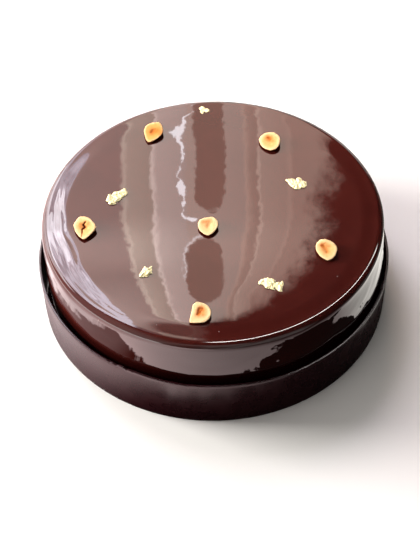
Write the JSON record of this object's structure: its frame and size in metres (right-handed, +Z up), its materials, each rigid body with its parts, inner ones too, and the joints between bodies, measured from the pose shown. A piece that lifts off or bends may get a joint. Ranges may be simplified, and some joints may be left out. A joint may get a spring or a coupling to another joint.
{
  "type": "chocolate entremet",
  "caption": "Low round cake under a dark chocolate mirror glaze, in a thin chocolate collar, topped with halved hazelnuts and gold leaf scraps.",
  "frame": {"origin": "middle of the cake's flat base, on the surface it stands on", "axes": "+Z up, -Y towards the side seen in the picture, +X to the right of it"},
  "size_m": [0.212, 0.212, 0.0667],
  "materials": {
    "mirror_glaze": "chocolate mirror glaze, wet gloss",
    "collar_chocolate": "tempered dark chocolate, satin",
    "hazelnut": "toasted hazelnut flesh, dry and slightly oily"
  },
  "bodies": {
    "root": {"glazed_cake": "mirror_glaze", "chocolate_collar": "collar_chocolate", "hazelnut_back_left": "hazelnut", "hazelnut_back_right": "hazelnut", "hazelnut_left": "hazelnut", "hazelnut_centre": "hazelnut", "hazelnut_right": "hazelnut", "hazelnut_front": "hazelnut"}
  },
  "joints": []
}
